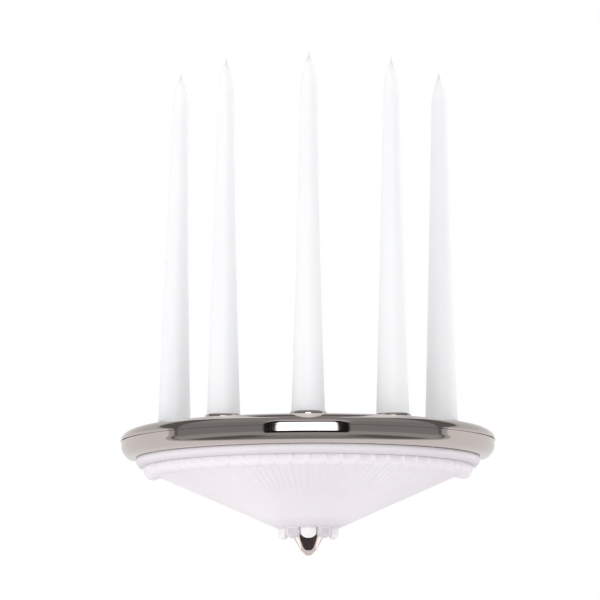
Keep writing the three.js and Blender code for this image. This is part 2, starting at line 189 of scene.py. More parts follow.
def frosted_glass():
    """Etched glass, with painted shade that greys the tip and the foot of the lip a little."""
    paint = Paint("frosted_glass", IOR=1.5, Subsurface_Weight=0.35, Subsurface_Scale=2.5 * MM,
                  Subsurface_Radius=(1.0, 0.96, 1.0), Specular_IOR_Level=0.4)
    cloud = paint.tones(paint.noise(18, 4), (0.25, (0.905, 0.845, 0.89)),
                        (0.75, (0.93, 0.88, 0.92)))
    height = paint.span(paint.axes()["Z"], 0, 1, TIP_LEVEL, LIP_TOP)

    def share(level):
        return (level - TIP_LEVEL) / (LIP_TOP - TIP_LEVEL)

    # painted shade: darker at the tip and at the foot of the lip, where shade falls
    painted_shade = paint.tones(height, (0.0, (0.88, 0.88, 0.88)), (0.14, (1, 1, 1)),
                        (share(LIP_BOTTOM - 0.6 * MM), (1, 1, 1)),
                        (share(LIP_BOTTOM + 0.3 * MM), (0.82, 0.81, 0.82)),
                        (share(LIP_BOTTOM + 1.6 * MM), (0.87, 0.86, 0.87)),
                        (share(LIP_BOTTOM + 4.2 * MM), (1, 1, 1)))
    # multiplies the etched tone by the painted shade
    shade_multiply = paint.nodes.new("ShaderNodeMix")
    shade_multiply.data_type = "RGBA"
    shade_multiply.blend_type = "MULTIPLY"
    shade_multiply.inputs["Factor"].default_value = 1
    first_colour, second_colour, mixed_colour = shade_multiply.inputs[6], shade_multiply.inputs[7], shade_multiply.outputs[2]
    paint.links.new(cloud, first_colour)
    paint.links.new(painted_shade, second_colour)
    paint.feed("Base Color", mixed_colour)
    etched = paint.noise(1400, 3, 0.6)
    paint.feed("Roughness", paint.span(paint.noise(40, 3), 0.42, 0.55))
    paint.bump((etched, 0.25, 0.03 * MM), (paint.noise(120, 2), 0.15, 0.12 * MM))
    return paint.material


def polished_glass():
    """The fire-polished beads, with painted shade that makes the ones beside the front one greyer.
    """
    paint = Paint("polished_glass", IOR=1.5, Subsurface_Weight=0.2, Subsurface_Scale=1.5 * MM,
                  Subsurface_Radius=(1.0, 0.96, 1.0))
    away = paint.nodes.new("ShaderNodeMath")
    away.operation = "ABSOLUTE"
    paint.links.new(paint.axes()["X"], away.inputs[0])
    painted_shade_across = paint.span(away.outputs[0], 0, 1, 0, 30 * MM)
    # painted shade: the beads on each side of the front one are painted grey
    paint.feed("Base Color", paint.tones(painted_shade_across, (0.2, (0.98, 0.96, 0.98)),
                                         (0.27, (0.72, 0.68, 0.71)), (0.5, (0.7, 0.67, 0.69)),
                                         (0.62, (0.92, 0.89, 0.91))))
    paint.feed("Roughness", paint.span(paint.noise(90, 3), 0.08, 0.16))
    paint.bump((paint.noise(300, 2), 0.1, 0.05 * MM))
    return paint.material


def white_wax():
    paint = Paint("white_wax", IOR=1.44, Subsurface_Weight=0.5, Subsurface_Scale=3 * MM,
                  Subsurface_Radius=(1.0, 0.9, 0.8), Specular_IOR_Level=0.35)
    cloud = paint.noise(22, 3, 0.5, paint.stretched(1, 1, 0.25))
    paint.feed("Base Color", paint.tones(cloud, (0.3, (0.885, 0.89, 0.915)),
                                         (0.7, (0.92, 0.922, 0.945))))
    paint.feed("Roughness", paint.span(paint.noise(70, 4), 0.3, 0.46))
    dipped = paint.noise(26, 2, 0.5, paint.stretched(1, 1, 0.3))
    paint.bump((dipped, 0.3, 0.5 * MM), (paint.noise(500, 2), 0.08, 0.05 * MM))
    return paint.material


def waxed_cotton():
    paint = Paint("waxed_cotton", Sheen_Weight=0.3, Sheen_Roughness=0.5)
    fibre = paint.noise(2600, 3, 0.6, paint.stretched(1, 1, 0.4))
    paint.feed("Base Color", paint.tones(fibre, (0.3, (0.74, 0.72, 0.68)),
                                         (0.7, (0.9, 0.89, 0.86))))
    paint.feed("Roughness", paint.span(fibre, 0.6, 0.85))
    paint.bump((fibre, 0.5, 0.05 * MM))
    return paint.material


def zinc_steel():
    paint = Paint("zinc_steel", Metallic=1.0)
    spangle = paint.cells(170)
    paint.feed("Base Color", paint.tones(spangle.outputs["Color"], (0.1, (0.46, 0.47, 0.49)),
                                         (0.9, (0.6, 0.61, 0.62))))
    rolled = paint.noise(120, 4, 0.6, paint.stretched(0.1, 1, 1))
    paint.feed("Roughness", paint.span(rolled, 0.3, 0.48))
    paint.bump((rolled, 0.2, 0.05 * MM), (spangle.outputs["Distance"], 0.12, 0.05 * MM))
    return paint.material


def satin_brass():
    paint = Paint("satin_brass", Metallic=1.0)
    tool_marks = paint.rings(900, 1.5)
    tarnish = paint.noise(90, 4)
    paint.feed("Base Color", paint.tones(tarnish, (0.3, (0.62, 0.46, 0.22)),
                                         (0.7, (0.76, 0.6, 0.33))))
    paint.feed("Roughness", paint.span(tarnish, 0.26, 0.42))
    paint.bump((tool_marks, 0.12, 0.03 * MM))
    return paint.material


def silicone():
    paint = Paint("silicone", Specular_IOR_Level=0.4, Subsurface_Weight=0.2,
                  Subsurface_Scale=1 * MM)
    dust = paint.noise(200, 4)
    paint.feed("Base Color", paint.tones(dust, (0.3, (0.62, 0.62, 0.6)),
                                         (0.75, (0.74, 0.74, 0.72))))
    paint.feed("Roughness", paint.span(dust, 0.5, 0.68))
    paint.bump((paint.noise(1500, 2), 0.2, 0.03 * MM))
    return paint.material


FINISH = {make.__name__: make() for make in (
    bright_nickel, frosted_glass, polished_glass, white_wax, waxed_cotton, zinc_steel,
    satin_brass, silicone)}


# ---------------------------------------------------------------- mesh helpers
SHARP, BLUNT, VERY_BLUNT = 32, 50, 60             # degrees: an edge over this stays sharp


def arc(x, z, radius_x, radius_z, start, end, steps):
    """Points on an ellipse about (x, z), from one angle to another in degrees."""
    angles = np.radians(np.linspace(start, end, steps + 1))
    return [(x + radius_x * math.cos(a), z + radius_z * math.sin(a)) for a in angles]


def line(start, end, steps):
    """Points from start to just before end."""
    return [tuple(np.array(start) + (np.array(end) - np.array(start)) * i / steps)
            for i in range(steps)]


def grid_faces(rows, columns, wrap_rows, wrap_columns):
    faces = []
    for row in range(rows if wrap_rows else rows - 1):
        next_row = (row + 1) % rows
        for column in range(columns if wrap_columns else columns - 1):
            side = (column + 1) % columns
            faces.append((row * columns + column, row * columns + side,
                          next_row * columns + side, next_row * columns + column))
    return faces


def end_caps(rows, count):
    """The two flat ends of a body made of rows of count points."""
    return [tuple(range(count)), tuple(range((rows - 1) * count, rows * count))]


def capped_faces(rows, segments):
    """Faces of a stack of rings between one bottom point and one top point."""
    last = rows * segments + 1
    faces = [tuple(1 + v for v in face) for face in grid_faces(rows, segments, False, True)]
    faces += [(0, 1 + (j + 1) % segments, 1 + j) for j in range(segments)]
    faces += [(last, last - segments + j, last - segments + (j + 1) % segments)
              for j in range(segments)]
    return faces


def shade(mesh, sharp=SHARP):
    """Welds a mesh, turns its faces outward and leaves only the real corners sharp."""
    work = bmesh.new()
    work.from_mesh(mesh)
    bmesh.ops.remove_doubles(work, verts=work.verts, dist=1e-7)
    bmesh.ops.dissolve_degenerate(work, edges=work.edges, dist=1e-8)
    bmesh.ops.recalc_face_normals(work, faces=work.faces)
    for face in work.faces:
        face.smooth = True
    for edge in work.edges:
        edge.smooth = edge.calc_face_angle(0) < math.radians(sharp)
    work.to_mesh(mesh)
    work.free()


def mesh_object(name, points, faces, finish, sharp=SHARP):
    mesh = bpy.data.meshes.new(name)
    mesh.from_pydata([tuple(p) for p in points], [], faces)
    mesh.materials.append(FINISH[finish])
    shade(mesh, sharp)
    made = bpy.data.objects.new(name, mesh)
    scene.collection.objects.link(made)
    return made


def turned(name, outline, centre, finish, segments, sharp=SHARP):
    """A piece turned about a vertical axis. Its outline closes on itself or runs axis to axis."""
    angles = np.linspace(0, 2 * math.pi, segments, endpoint=False)
    profile = np.array(outline)
    points = [(centre[0] + r * math.cos(a), centre[1] + r * math.sin(a), z)
              for a in angles for r, z in profile]
    closed = profile[0][0] > 0
    faces = grid_faces(segments, len(profile), True, closed)
    return mesh_object(name, points, faces, finish, sharp)


def half_round(name, outline, finish, steps):
    """A body that runs from the wall round the front half circle and back to the wall."""
    back = BACK_Y - AXIS_Y
    stops = [(0, back)] + [(math.pi * i / steps, 0) for i in range(steps + 1)]
    stops.append((math.pi, back))
    points = [(r * math.cos(a), AXIS_Y + step - r * math.sin(a), z)
              for a, step in stops for r, z in outline]
    count = len(outline)
    faces = grid_faces(len(stops), count, False, outline[0][0] > 0)
    faces += end_caps(len(stops), count)
    return mesh_object(name, points, faces, finish)


def slab(name, outline, front, back, finish):
    """A flat outline in x and z that runs from y = front to y = back."""
    count = len(outline)
    points = [(x, y, z) for y in (front, back) for x, z in outline]
    faces = grid_faces(2, count, False, True) + end_caps(2, count)
    return mesh_object(name, points, faces, finish)


def drum(centre, radius, bottom, top, segments=48):
    """A plain cylinder to cut with."""
    return turned("cutter", [(0, bottom), (radius, bottom), (radius, top), (0, top)],
                  centre, "zinc_steel", segments)


def combined(piece, others, operation, sharp=SHARP):
    """Cuts the others out of a piece, or joins them to it, and drops them."""
    for other in others:
        modifier = piece.modifiers.new("combine", "BOOLEAN")
        modifier.operation = operation
        modifier.solver = "EXACT"
        modifier.object = other
    graph = bpy.context.evaluated_depsgraph_get()
    mesh = bpy.data.meshes.new_from_object(piece.evaluated_get(graph))
    piece.modifiers.clear()
    piece.data = mesh
    for other in others:
        bpy.data.objects.remove(other)
    shade(mesh, sharp)
    return piece


def placed(piece, matrix):
    """Moves a piece's mesh and leaves its object at the origin."""
    piece.data.transform(matrix)
    return piece


def softened(piece, width):
    """Rounds the sharp edges a little."""
    modifier = piece.modifiers.new("soft_edges", "BEVEL")
    modifier.width = width
    modifier.segments = 2
    modifier.limit_method = "ANGLE"
    modifier.angle_limit = math.radians(SHARP)
    modifier.harden_normals = True
    return piece


def stand_in(piece, node):
    """Lets a fine piece take the place of a node of the part."""
    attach(piece, body_of[node])
    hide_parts(node)


# ---------------------------------------------------------------- rim
SHEET = 1.1 * MM
SHEET_EDGE = 0.08 * MM
HALF_SEAM = 0.2 * MM                              # half the line between cover and band


def cover_shell():
    top = high["top_cover"].z
    edge_level = HALF_SEAM
    round_in = 15 * MM
    rise = top - edge_level
    outline = [(0, top - SHEET)]
    outline += arc(RIM - round_in, edge_level, round_in - SHEET, rise - SHEET, 90, 0, 20)
    outline += arc(RIM - round_in, edge_level, round_in, rise, 0, 90, 28)
    outline.append((0, top))
    shell = half_round("cover_shell", outline, "bright_nickel", 240)
    bores = []
    for station in STATIONS:
        bore = radius_of(f"collar_{station}") - 1 * MM
        bores.append(drum(middle_of(f"collar_{station}"), bore, 0, 2 * top, 96))
    return softened(combined(shell, bores, "DIFFERENCE"), SHEET_EDGE)


def band_shell():
    bottom = low["rim_band"].z
    edge_level = -HALF_SEAM
    radius = radius_of("rim_band")
    round_in = 9.3 * MM
    inner = radius_of("bowl_gasket") - 4 * MM
    centre = (radius - round_in, bottom + round_in)
    outline = [(inner, bottom)]
    outline += arc(*centre, round_in, round_in, -90, 0, 30)
    upstand = radius - SHEET                      # a ring inside the cover, behind the seam
    upstand_inner = upstand - 0.8 * MM
    outline += [(radius, edge_level), (upstand, edge_level), (upstand, 2 * MM),
                (upstand_inner, 2 * MM), (upstand_inner, edge_level - 2.5 * MM)]
    outline += arc(*centre, round_in - SHEET, round_in - SHEET, 0, -90, 20)
    outline.append((inner, bottom + SHEET))
    return softened(half_round("band_shell", outline, "bright_nickel", 240), SHEET_EDGE)


stand_in(cover_shell(), "top_cover")
stand_in(band_shell(), "rim_band")

# ---------------------------------------------------------------- bowl
FLUTES = 32                                       # on the half circle
SAMPLES = 16                                      # mesh columns on a flute
REED_HEIGHT = 0.55 * MM                           # at the rim of the cone, less near the tip
REED_PLACES = (0.25, 0.75)                        # shares of a flute's width
REED_WIDTH = 0.12
DENT_WIDTH = 0.42
FLUTE_RING = BOWL - 9.5 * MM
TIP_RADIUS = 22 * MM
CONE_SLOPE = (LIP_BOTTOM - 4.15 * MM - TIP_LEVEL) / (BOWL - 14.3 * MM - TIP_RADIUS)
CONE_RIM = BOWL - 20 * MM                         # the reeded cone ends here
CONE_TOP = (CONE_RIM, TIP_LEVEL + (CONE_RIM - TIP_RADIUS) * CONE_SLOPE)
WALL_RISE = 6 * MM * math.hypot(1, CONE_SLOPE)
TIP_FLOOR = TIP_LEVEL + WALL_RISE
LEDGE = low["bowl_gasket"].z - FIT


def bowl_profiles():
    """The outline in the middle of a flute and on the ridge beside it, point for point, the dent
    under the middle of a flute and the height of the reeds at each point."""
    cone_steps = 44
    cone = line((TIP_RADIUS, TIP_LEVEL), CONE_TOP, cone_steps)
    start = [(0, TIP_LEVEL)] + cone + [CONE_TOP]
    flute = arc(BOWL - 12 * MM, LIP_BOTTOM - 5.4 * MM, 4.8 * MM, 2.9 * MM, 196, 360, 22)
    flute.append((BOWL - 7.9 * MM, LIP_BOTTOM + 0.5 * MM))
    ridge_start = (CONE_RIM + 1.2 * MM, CONE_TOP[1] - 0.35 * MM)
    ridge = [ridge_start] + arc(BOWL - 15.5 * MM, LIP_BOTTOM - 1.2 * MM, 10.2 * MM, 6.7 * MM,
                                262, 360, 21)
    ridge.append((BOWL - 6.4 * MM, LIP_BOTTOM + 0.5 * MM))
    lip_round = 5 * MM
    lip_edge = LIP_TOP + 0.2 * MM
    lip = arc(BOWL - lip_round, LIP_BOTTOM + lip_round, lip_round, lip_round, -80, 0, 14)
    lip += arc(BOWL - 0.3 * MM, lip_edge - 0.3 * MM, 0.3 * MM, 0.3 * MM, 25, 90, 4)
    seat = BOWL - 3 * MM
    inner_top = TIP_RADIUS + (LEDGE - TIP_FLOOR) / CONE_SLOPE
    inside = [(seat, lip_edge), (seat, LEDGE)]
    inside += line((inner_top, LEDGE), (TIP_RADIUS, TIP_FLOOR), 16)
    inside += [(TIP_RADIUS, TIP_FLOOR), (0, TIP_FLOOR)]
    whole = len(start) + len(flute) + len(lip) + len(inside)
    dent = np.zeros((whole, 2))
    for i, (out, up) in enumerate(((2.2, 1.3), (2.6, 2.4), (1.9, 2.0), (0.7, 0.7))):
        dent[len(start) + i] = (out * MM, up * MM)
    reed = np.zeros(whole)
    for i in range(cone_steps + 1):
        share = i / cone_steps
        reed[1 + i] = REED_HEIGHT * min(1, max(0, (share - 0.33) / 0.5)) ** 1.3
    return (np.array(start + flute + lip + inside), np.array(start + ridge + lip + inside),
            dent, reed)


def bead(angle):
    """One pressed bead: round below, with a straight neck that runs up into the cone."""
    half_width, half_depth = 6.2 * MM, 3.6 * MM
    circle = radius_of("finial") + 4 * MM + half_depth
    bottom = low["bowl"].z
    middle = bottom + 4.9 * MM
    top = TIP_LEVEL + 1.6 * MM
    outline = [(0, bottom)] + arc(0, middle, half_width, middle - bottom, -84, 0, 14)
    outline += [(half_width, (middle + top) / 2), (half_width, top), (0, top)]
    drop = turned("bead", outline, (0, 0), "frosted_glass", 40)
    place = Matrix.Translation((circle * math.sin(angle), AXIS_Y - circle * math.cos(angle), 0))
    return placed(drop, place @ Matrix.Rotation(angle, 4, "Z")
                  @ Matrix.Diagonal((1, half_depth / half_width, 1, 1)))


def glass_bowl():
    """The bowl as one solid: half a cone with its wall, flutes, reeds, lip, beads and bolt hole."""
    flute, ridge, dent, reed = bowl_profiles()
    pitch = math.pi * FLUTE_RING / FLUTES
    quarter = math.pi * FLUTE_RING / 2
    side = BACK_Y - AXIS_Y
    half = np.append(np.arange(0, FLUTES // 2 * SAMPLES) * pitch / SAMPLES,
                     np.arange(quarter, quarter + side, pitch / SAMPLES))
    travel = np.concatenate([-half[:0:-1], half])
    travel = np.concatenate([[-quarter - side], travel, [quarter + side]])
    points = []
    for s in travel:
        u = (s / pitch) % 1
        hollow = max(0, 1 - abs(2 * u - 1) ** 3) ** 0.8
        dented = max(0, 1 - (abs(2 * u - 1) / DENT_WIDTH) ** 2)
        outline = ridge + (flute - ridge) * hollow + dent * dented
        to_reed = min(abs(u - place) for place in REED_PLACES) / REED_WIDTH
        lift = reed * math.exp(-to_reed ** 2)
        radius = outline[:, 0] + lift * CONE_SLOPE * 0.9
        level = outline[:, 1] - lift * 0.9
        angle = max(-quarter, min(quarter, s)) / FLUTE_RING
        step = max(0, abs(s) - quarter)
        for r, z in zip(radius, level):
            points.append((r * math.sin(angle), AXIS_Y + step - r * math.cos(angle), z))
    count = len(flute)
    faces = grid_faces(len(travel), count, False, False) + end_caps(len(travel), count)
    bowl = mesh_object("glass_bowl", points, faces, "frosted_glass", BLUNT)
    beads = [bead(i * math.pi / 5) for i in range(-3, 4)]
    bowl = combined(bowl, beads, "UNION", BLUNT)
    bowl.data.materials.append(FINISH["polished_glass"])
    for face in bowl.data.polygons:
        face.material_index = int(face.center.z < TIP_LEVEL - 0.05 * MM)
    bore = drum((0, AXIS_Y), radius_of("centre_bolt") / 2, TIP_LEVEL - MM, TIP_FLOOR + MM)
    return combined(bowl, [bore], "DIFFERENCE", BLUNT)


stand_in(glass_bowl(), "bowl")


def gasket_ring():
    top = high["bowl_gasket"].z
    bottom = low["bowl_gasket"].z
    outer = radius_of("bowl_gasket")
    inner = outer - 4 * MM
    round_edge = (top - bottom) / 2
    outline = arc(outer - round_edge, bottom + round_edge, round_edge, round_edge, -90, 90, 8)
    outline += arc(inner + round_edge, bottom + round_edge, round_edge, round_edge, 90, 270, 8)
    return half_round("gasket_ring", outline, "silicone", 160)


stand_in(gasket_ring(), "bowl_gasket")

# ---------------------------------------------------------------- carrier, wall plate, brackets
SCREW_HOLE = 2.3 * MM
BOLT_BORE = 4.3 * MM


def flat_carrier():
    bottom = low["carrier_plate"].z
    top = high["carrier_plate"].z
    edge = radius_of("carrier_plate")
    plate = half_round("carrier_sheet", [(0, bottom), (edge, bottom), (edge, top), (0, top)],
                       "zinc_steel", 160)
    bores = [drum(middle_of(f"cup_{s}"), radius_of(f"cup_{s}") - 3.1 * MM, bottom - MM, top + MM)
             for s in STATIONS]
    bores += [drum(middle_of(f"carrier_screw_{side}"), SCREW_HOLE, bottom - MM, top + MM)
              for side in SIDES]
    bores.append(drum((0, AXIS_Y), BOLT_BORE, bottom - MM, top + MM))
    return softened(combined(plate, bores, "DIFFERENCE"), 0.25 * MM)


def screw_hole(side, front, back):
    """A level cutter where a plate screw passes."""
    place = middle_of(f"plate_screw_{side}")
    hole = arc(place.x, place.z, SCREW_HOLE, SCREW_HOLE, 0, 350, 35)
    return slab("cutter", hole, front, back, "zinc_steel")


def wall_sheet():
    bottom = low["wall_plate"].z
    top = high["wall_plate"].z
    half_top = radius_of("wall_plate")
    foot = TIP_RADIUS + (bottom - TIP_FLOOR) / CONE_SLOPE - 2 * MM
    corner = 2.5 * MM
    outline = [(-foot, bottom), (foot, bottom), (half_top, LEDGE)]
    outline += arc(half_top - corner, top - corner, corner, corner, 0, 90, 6)
    outline += arc(corner - half_top, top - corner, corner, corner, 90, 180, 6)
    outline.append((-half_top, LEDGE))
    front = low["wall_plate"].y
    plate = slab("wall_sheet", outline, front, 0, "zinc_steel")
    cutters = []
    head, slot_half, rise = 6 * MM, 3.1 * MM, 11 * MM
    spread, below_top = 80 * MM, 19 * MM
    start = math.degrees(math.asin(slot_half / head))
    for side, name in zip((-1, 1), SIDES):
        x, z = side * spread, top - below_top
        keyhole = arc(x, z, head, head, 90 + start, 450 - start, 40)
        keyhole += arc(x, z + rise, slot_half, slot_half, 0, 180, 16)
        cutters.append(slab("cutter", keyhole, front - MM, MM, "zinc_steel"))
        cutters.append(screw_hole(name, front - MM, MM))
    return softened(combined(plate, cutters, "DIFFERENCE"), 0.3 * MM)


def angle_bracket(side):
    """A strip bent to a right angle, with one hole in each leg."""
    lowest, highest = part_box(f"bracket_{side}")
    painted_shade = 2.5 * MM
    bend = 3.2 * MM
    outline = [(lowest.y, highest.z - painted_shade)]
    outline += arc(highest.y - bend, highest.z - bend, bend - painted_shade, bend - painted_shade, 90, 0, 6)
    outline.append((highest.y - painted_shade, lowest.z))
    outline.append((highest.y, lowest.z))
    outline += arc(highest.y - bend, highest.z - bend, bend, bend, 0, 90, 10)
    outline.append((lowest.y, highest.z))
    count = len(outline)
    points = [(x, y, z) for x in (lowest.x, highest.x) for y, z in outline]
    faces = grid_faces(2, count, False, True) + end_caps(2, count)
    strip = mesh_object(f"angle_bracket_{side}", points, faces, "zinc_steel")
    upright = drum(middle_of(f"carrier_screw_{side}"), SCREW_HOLE, lowest.z, highest.z + MM)
    level = screw_hole(side, lowest.y, highest.y + MM)
    return softened(combined(strip, [upright, level], "DIFFERENCE"), 0.3 * MM)


stand_in(flat_carrier(), "carrier_plate")
stand_in(wall_sheet(), "wall_plate")
for side in SIDES:
    stand_in(angle_bracket(side), f"bracket_{side}")


# ---------------------------------------------------------------- threads and fasteners
SCREW_HEAD = 1.3 * MM


def threaded(name, radius, depth, pitch, bottom, top, finish):
    """A rod with a cut thread, about the z axis at the origin."""
    segments = 32
    steps = max(2, round((top - bottom) / pitch * 6))
    points = [(0, 0, bottom)]
    for i in range(steps + 1):
        z = bottom + (top - bottom) * i / steps
        fade = min(1, (z - bottom) / pitch, (top - z) / pitch)
        for j in range(segments):
            turn = j / segments
            wave = abs(((z / pitch - turn) % 1) * 2 - 1)
            r = radius - depth * wave * fade - depth * max(0, 1 - (z - bottom) / pitch) * 0.6
            points.append((r * math.cos(turn * 2 * math.pi), r * math.sin(turn * 2 * math.pi), z))
    points.append((0, 0, top))
    return mesh_object(name, points, capped_faces(steps + 1, segments), finish, VERY_BLUNT)


def headed_screw(name, head_radius, head_height, radius, length, slot_width, pitch):
    """A low slotted head above z = 0 on a threaded shank, as one solid."""
    neck = radius * 0.8
    outline = [(0, -0.4 * MM), (neck, -0.4 * MM), (neck, 0), (head_radius - 0.2 * MM, 0)]
    outline += arc(0, 0, head_radius, head_height, 8, 66, 10)
    outline.append((0, head_height))
    head = turned(name, outline, (0, 0), "zinc_steel", 48)
    shank = threaded("shank", radius, 0.3 * MM, pitch, -length, 0.2 * MM, "zinc_steel")
    head = combined(head, [shank], "UNION")
    half = slot_width / 2
    slot = slab("cutter", [(-half, head_height * 0.4), (half, head_height * 0.4),
                           (half, head_height + MM), (-half, head_height + MM)],
                -head_radius - MM, head_radius + MM, "zinc_steel")
    return combined(head, [slot], "DIFFERENCE")


def plated_screw(node, whole_length, matrix):
    """One of the small screws, made head up and put in its place."""
    screw = headed_screw(f"plated_{node}", (high[node].x - low[node].x) / 2, SCREW_HEAD, 2 * MM,
                         whole_length - SCREW_HEAD, 0.9 * MM, 0.7 * MM)
    stand_in(placed(screw, matrix), node)


for side, turn in zip(SIDES, (0.5, 1.1)):
    turned_head = Matrix.Rotation(turn, 4, "Z")

    node = f"carrier_screw_{side}"
    place = middle_of(node)
    seat = Matrix.Translation((place.x, place.y, high[node].z - SCREW_HEAD))
    plated_screw(node, high[node].z - low[node].z, seat @ turned_head)

    node = f"plate_screw_{side}"
    place = middle_of(node)
    seat = Matrix.Translation((place.x, low[node].y + SCREW_HEAD, place.z))
    towards_viewer = Matrix.Rotation(math.pi / 2, 4, "X")
    plated_screw(node, high[node].y - low[node].y, seat @ towards_viewer @ turned_head)

bolt_seat = high["centre_bolt"].z - SCREW_HEAD
bolt = headed_screw("long_bolt", radius_of("centre_bolt"), SCREW_HEAD, 4 * MM,
                    bolt_seat - low["centre_bolt"].z, 1.4 * MM, 1.25 * MM)
stand_in(placed(bolt, Matrix.Translation((0, AXIS_Y, bolt_seat))), "centre_bolt")


def flat_ring(name, node, inner, finish, round_edge):
    """A washer with rounded outer corners."""
    bottom, top, outer = low[node].z, high[node].z, radius_of(node)
    outline = [(inner, bottom)]
    outline += arc(outer - round_edge, bottom + round_edge, round_edge, round_edge, -90, 0, 4)
    outline += arc(outer - round_edge, top - round_edge, round_edge, round_edge, 0, 90, 4)
    outline.append((inner, top))
    return turned(name, outline, (0, AXIS_Y), finish, 72)


def hexagon_nut():
    """A nut whose corners are turned down at both faces."""
    bottom, top = low["bolt_nut"].z, high["bolt_nut"].z
    corner = radius_of("bolt_nut")
    turns, sixth = 72, math.pi / 3
    face_share = 0.866                            # half the width across flats, over the corner
    rim = corner * 0.88
    waist = BOLT_BORE - 0.01 * MM
    points = []
    for j in range(turns):
        a = 2 * math.pi * j / turns
        flat = corner * math.cos(sixth / 2) / math.cos((a + sixth / 2) % sixth - sixth / 2)
        to_corner = (flat - corner * face_share) / (corner * (1 - face_share))
        chamfer = min(1, to_corner) * 0.9 * MM + 0.1 * MM
        column = [(BOLT_BORE, bottom), (min(flat, rim), bottom), (flat, bottom + chamfer),
                  (flat, top - chamfer), (min(flat, rim), top), (BOLT_BORE, top),
                  (waist, top - 0.5 * MM), (waist, bottom + 0.5 * MM)]
        points += [(r * math.cos(a), AXIS_Y + r * math.sin(a), z) for r, z in column]
    faces = grid_faces(turns, len(column), True, True)
    return mesh_object("hexagon_nut", points, faces, "zinc_steel", 40)


stand_in(flat_ring("steel_washer", "bolt_washer", BOLT_BORE, "zinc_steel", 0.3 * MM),
         "bolt_washer")
stand_in(hexagon_nut(), "bolt_nut")
stand_in(flat_ring("soft_washer", "cushion_washer", BOLT_BORE, "silicone", 0.4 * MM),
         "cushion_washer")


def finial_knob():
    top, bottom = high["finial"].z, low["finial"].z
    widest = radius_of("finial")
    taper_top = top - 4 * MM
    end_height = 4.2 * MM
    end_radius = 6.1 * MM
    taper_end = bottom + end_height
    bore_end = low["centre_bolt"].z - FIT
    outline = [(0, bottom)] + arc(0, bottom + 0.9 * MM, 2.6 * MM, 0.9 * MM, -86, -30, 6)
    outline += line((end_radius - 3 * MM, taper_end - 2.9 * MM), (end_radius, taper_end), 5)
    outline += line((end_radius, taper_end), (widest - 0.5 * MM, taper_top), 6)
    outline += arc(widest - 0.7 * MM, taper_top + 0.5 * MM, 0.7 * MM, 0.7 * MM, -45, 0, 4)
    outline += arc(widest - 0.4 * MM, top - 0.4 * MM, 0.4 * MM, 0.4 * MM, 0, 90, 4)
    outline += [(BOLT_BORE, top), (BOLT_BORE, bore_end), (0, bore_end)]
    return turned("finial_knob", outline, (0, AXIS_Y), "bright_nickel", 128)


stand_in(finial_knob(), "finial")


# ---------------------------------------------------------------- the candle stations
CANDLE_FOOT = radius_of("candle_middle")
CUP_INNER = 12.75 * MM
CUP_WALL = 0.9 * MM
# how far each candle leans to the right at its tip
BOW = dict(zip(STATIONS, (4.8 * MM, 2.2 * MM, 1.8 * MM, 1.2 * MM, 1 * MM)))


def cup(station):
    """A cup with a flange on top and a thread on its outside."""
    bottom, top = low[f"cup_{station}"].z, high[f"cup_{station}"].z
    flange = radius_of(f"cup_{station}")
    outer = CUP_INNER + CUP_WALL
    under = top - 1.3 * MM
    outline = [(0, bottom)] + arc(outer - MM, bottom + MM, MM, MM, -90, 0, 6)
    for i in range(8):
        level = bottom + 3 * MM + i * 1 * MM
        outline += [(outer - 0.3 * MM, level), (outer, level + 0.5 * MM)]
    outline += [(outer, under - 0.2 * MM), (outer + 0.2 * MM, under)]
    outline += arc(flange - 0.3 * MM, under + 0.3 * MM, 0.3 * MM, 0.3 * MM, -90, 0, 3)
    outline += arc(flange - 0.3 * MM, top - 0.3 * MM, 0.3 * MM, 0.3 * MM, 0, 90, 3)
    outline += [(CUP_INNER + 0.3 * MM, top), (CUP_INNER, top - 0.3 * MM)]
    outline += arc(CUP_INNER - MM, bottom + 2.2 * MM, MM, MM, 0, -90, 6)
    outline.append((0, bottom + 1.2 * MM))
    return turned(f"brass_cup_{station}", outline, middle_of(f"cup_{station}"), "satin_brass",
                  96, BLUNT)


def lock_ring(station):
    """A slim ring nut with notches for a pin spanner."""
    node = f"lock_ring_{station}"
    bottom, top, outer = low[node].z, high[node].z, radius_of(node)
    inner = outer - 3.6 * MM
    centre = middle_of(node)
    points = []
    turns = 144
    edge = 0.35 * MM
    for j in range(turns):
        a = 2 * math.pi * j / turns
        notch = 1.1 * MM if (j % 18) in (0, 1, 2) else 0
        column = [(inner, bottom), (outer - notch - edge, bottom), (outer - notch, bottom + edge),
                  (outer - notch, top - edge), (outer - notch - edge, top), (inner, top)]
        points += [(centre.x + r * math.cos(a), centre.y + r * math.sin(a), z) for r, z in column]
    return mesh_object(f"ring_nut_{station}", points, grid_faces(turns, 6, True, True),
                       "zinc_steel")


def collar(station):
    """A domed ring on the cover, with a spigot down into its hole."""
    node = f"collar_{station}"
    bottom, top, outer = low[node].z, high[node].z, radius_of(node)
    inner = outer - 1.5 * MM
    shoulder = high["top_cover"].z + FIT
    spigot = inner + 0.6 * MM
    crown = 0.35 * MM
    outline = [(inner, bottom), (spigot, bottom), (spigot, shoulder)]
    outline += arc(inner, shoulder, outer - inner, top - shoulder, 0, 74, 18)
    outline += arc(inner + crown, top - crown, crown, crown, 90, 180, 6)
    return turned(f"polished_collar_{station}", outline, middle_of(node), "bright_nickel", 128,
                  BLUNT)


def taper_radius(share):
    """Radius of the taper at a share of its length above the collar."""
    return CANDLE_FOOT - (8.9 * share - 2.1 * share ** 2) * MM


def bow(piece, station):
    """Bends a taper or its wick sideways, more and more towards the top."""
    foot = high[f"collar_{station}"].z
    tip = high[f"candle_{station}"].z
    for vertex in piece.data.vertices:
        vertex.co.x += BOW[station] * max(0, (vertex.co.z - foot) / (tip - foot)) ** 1.3
    return piece


